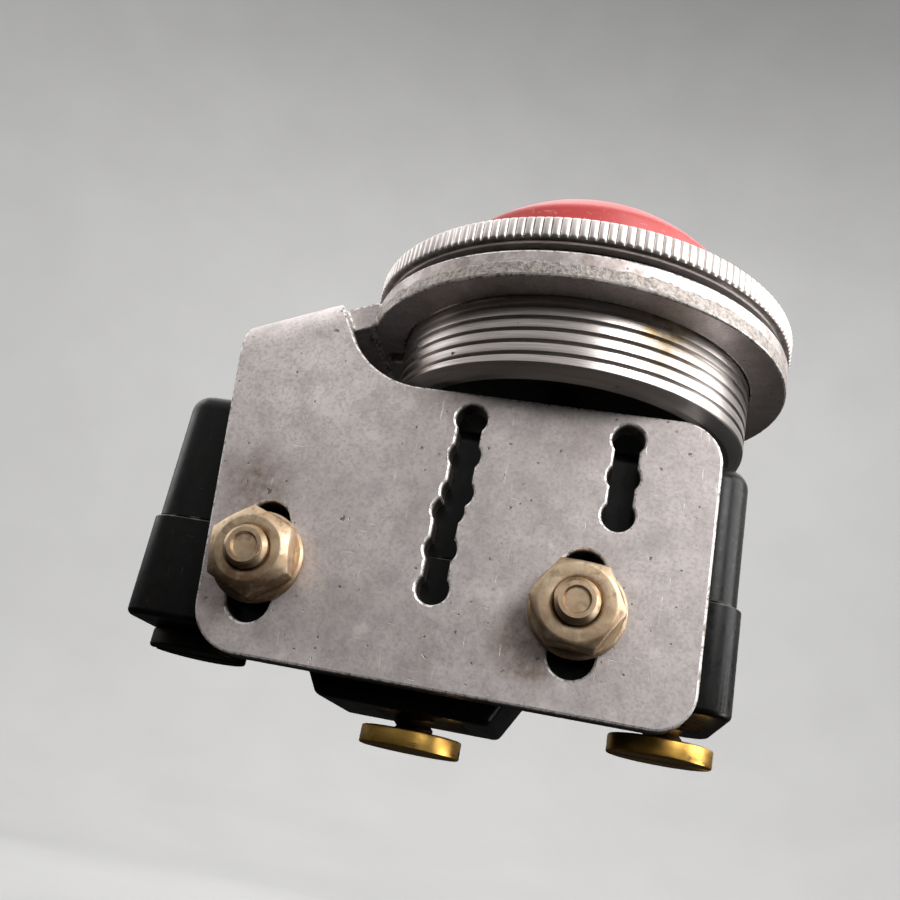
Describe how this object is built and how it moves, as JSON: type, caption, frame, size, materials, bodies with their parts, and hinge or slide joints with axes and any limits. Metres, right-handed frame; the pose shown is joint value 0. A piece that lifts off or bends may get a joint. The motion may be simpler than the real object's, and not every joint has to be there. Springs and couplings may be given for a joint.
{
  "type": "pushbutton switch",
  "caption": "Panel pushbutton with a red domed cap in a knurled bezel ring on a threaded barrel, carried by a slotted sheet bracket with a snap-action switch bolted behind it.",
  "frame": {"origin": "on the button's axis in the top face of the flange, where the panel lies", "axes": "+Z along the button's axis towards the operator, +X along the bracket's plate, +Y from the plate towards the switch"},
  "size_m": [0.0523, 0.0386, 0.052],
  "materials": {
    "sheet_metal": "zinc-plated sheet, satin, worn",
    "turned_metal": "turned, threaded",
    "spring_steel": "drawn wire",
    "gasket_rubber": "black rubber",
    "bezel_metal": "bright plated, knurled",
    "red_plastic": "glossy red moulding",
    "black_moulding": "black phenolic, satin",
    "plunger_plastic": "dark red moulding",
    "spring_copper": "rolled copper alloy",
    "silver_contact": "silver",
    "terminal_brass": "bright brass",
    "plated_steel": "yellow zinc plate, worn"
  },
  "bodies": {
    "housing": {"bracket": "sheet_metal", "barrel": "turned_metal", "guide_plate": "turned_metal", "retaining_ring": "spring_steel", "panel_gasket": "gasket_rubber", "bezel_ring": "bezel_metal", "return_spring": "spring_steel", "switch_base": "black_moulding", "switch_cover": "black_moulding", "upper_contact": "silver_contact", "lower_contact": "silver_contact", "common_terminal": "terminal_brass", "normally_open_terminal": "terminal_brass", "normally_closed_terminal": "terminal_brass", "terminal_screws": "terminal_brass", "mounting_screws": "plated_steel", "mounting_washers": "plated_steel", "mounting_nuts": "plated_steel"},
    "button": {"button_cap": "red_plastic"},
    "stem": {"actuator_stem": "turned_metal", "overtravel_spring": "spring_steel"},
    "plunger": {"switch_plunger": "plunger_plastic"},
    "blade": {"contact_blade": "spring_copper", "moving_contact": "silver_contact", "blade_rivet": "terminal_brass"}
  },
  "joints": [
    {"name": "button_press", "type": "slide", "parent": "housing", "child": "button", "axis": [0, 0, -1], "range_m": [0, 0.002], "stiffness_N_per_m": 1500, "springref_m": -0.002, "deforming": ["overtravel_spring"]},
    {"name": "stem_slide", "type": "slide", "parent": "housing", "child": "stem", "axis": [0, 0, -1], "range_m": [0, 0.0006], "deforming": ["return_spring"]},
    {"name": "plunger_slide", "type": "slide", "parent": "housing", "child": "plunger", "axis": [0, 0, -1], "range_m": [0, 0.0006]},
    {"name": "blade_swing", "type": "hinge", "parent": "housing", "child": "blade", "pos_m": [-0.02136, 0, -0.0195], "axis": [0, 1, 0], "range_deg": [0, 1.72]}
  ],
  "couplings": [
    {"joint": "stem_slide", "follows": "button_press", "ratio": 0.3},
    {"joint": "plunger_slide", "follows": "button_press", "ratio": 0.3},
    {"joint": "blade_swing", "follows": "button_press", "rad_per_m": 15.037}
  ]
}
